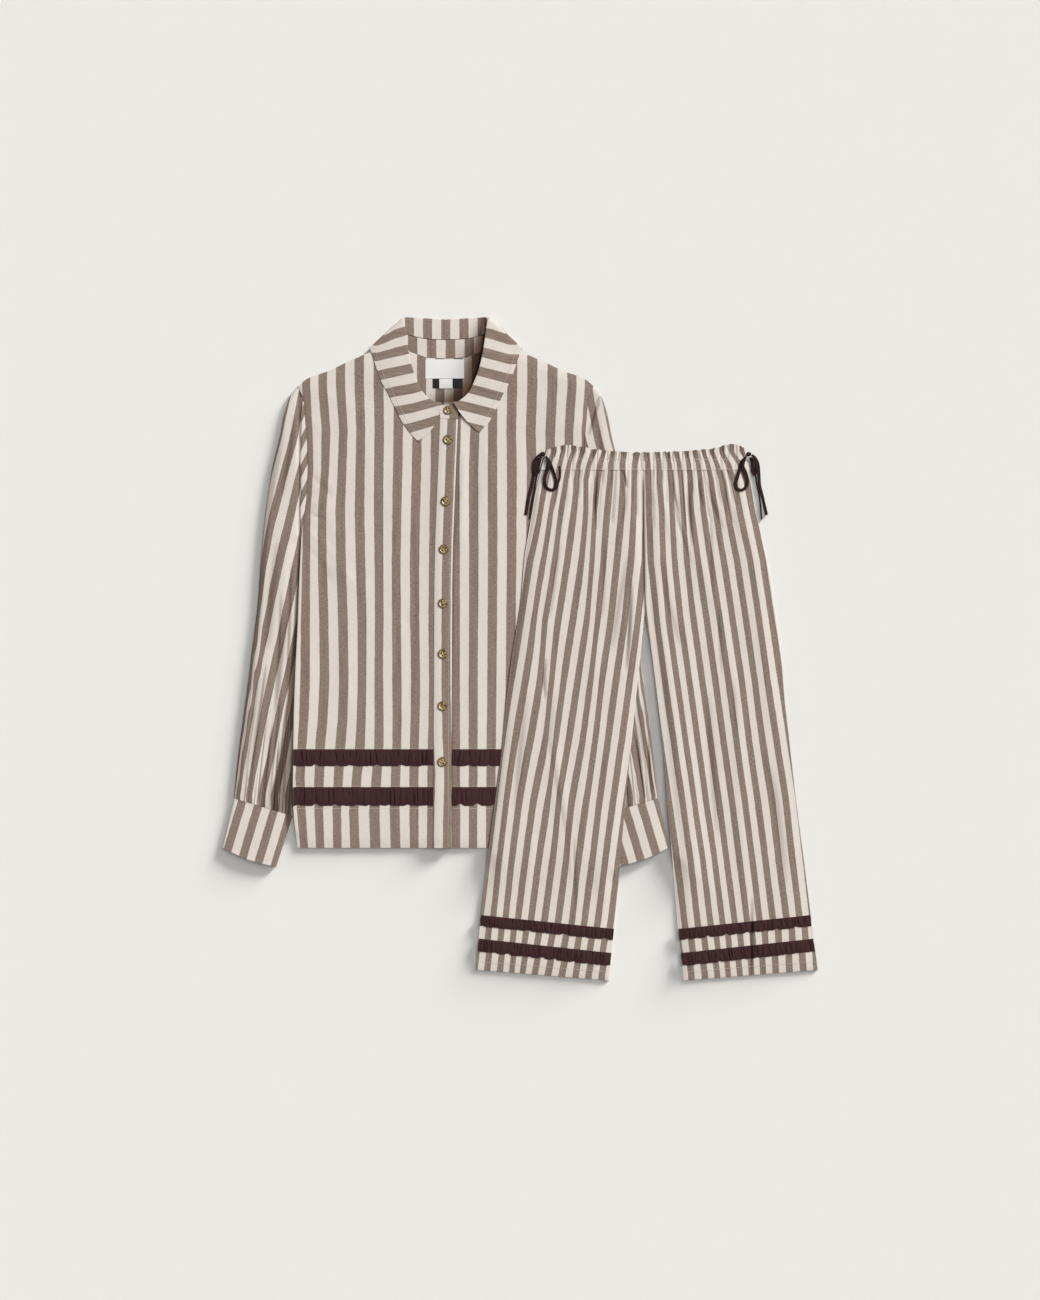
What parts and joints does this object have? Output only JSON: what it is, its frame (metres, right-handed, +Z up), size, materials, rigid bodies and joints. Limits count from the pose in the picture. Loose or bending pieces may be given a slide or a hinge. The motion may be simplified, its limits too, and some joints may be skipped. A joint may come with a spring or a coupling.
{
  "type": "pyjama set",
  "caption": "Striped pyjama set laid flat: a buttoned long-sleeved shirt with a collar, and loose gathered trousers over its right side, with dark ruffles.",
  "frame": {"origin": "middle of the underside of the whole set, on the surface it lies on", "axes": "+Z up from the surface, +Y towards the shirt's collar, +X towards the trousers"},
  "size_m": [0.8342, 0.9292, 0.0141],
  "materials": {
    "striped_cotton": "soft woven cotton with taupe and cream stripes",
    "dark_cotton": "soft woven cotton, dark aubergine",
    "button_horn": "polished, brown horn colour",
    "label_white": "smooth white tape, bare",
    "tab_black": "smooth black tape, bare"
  },
  "bodies": {
    "root": {"bow_left_end": "dark_cotton", "bow_left_knot": "dark_cotton", "bow_left_loop_large": "dark_cotton", "bow_left_loop_small": "dark_cotton", "bow_left_tail": "dark_cotton", "bow_left_tail_on_edge": "dark_cotton", "bow_right_knot": "dark_cotton", "bow_right_loop_large": "dark_cotton", "bow_right_loop_small": "dark_cotton", "bow_right_tail": "dark_cotton", "bow_right_tail_on_edge": "dark_cotton", "button_1": "button_horn", "button_2": "button_horn", "button_3": "button_horn", "button_4": "button_horn", "button_5": "button_horn", "button_6": "button_horn", "button_7": "button_horn", "button_8": "button_horn", "collar_fall": "striped_cotton", "collar_stand": "striped_cotton", "cuff_left": "striped_cotton", "cuff_right": "striped_cotton", "dark_tab": "tab_black", "leg_ruffle_lower_left": "dark_cotton", "leg_ruffle_lower_right": "dark_cotton", "leg_ruffle_upper_left": "dark_cotton", "leg_ruffle_upper_right": "dark_cotton", "neck_label": "label_white", "placket": "striped_cotton", "ruffle_lower_left": "dark_cotton", "ruffle_lower_right": "dark_cotton", "ruffle_upper_left": "dark_cotton", "ruffle_upper_right": "dark_cotton", "shirt_back": "striped_cotton", "shirt_front_left": "striped_cotton", "shirt_front_right": "striped_cotton", "size_tab": "label_white", "sleeve_left": "striped_cotton", "sleeve_right": "striped_cotton", "trouser_back_left": "striped_cotton", "trouser_back_right": "striped_cotton", "trouser_front_left": "striped_cotton", "trouser_front_right": "striped_cotton", "waistband": "striped_cotton"}
  },
  "joints": []
}
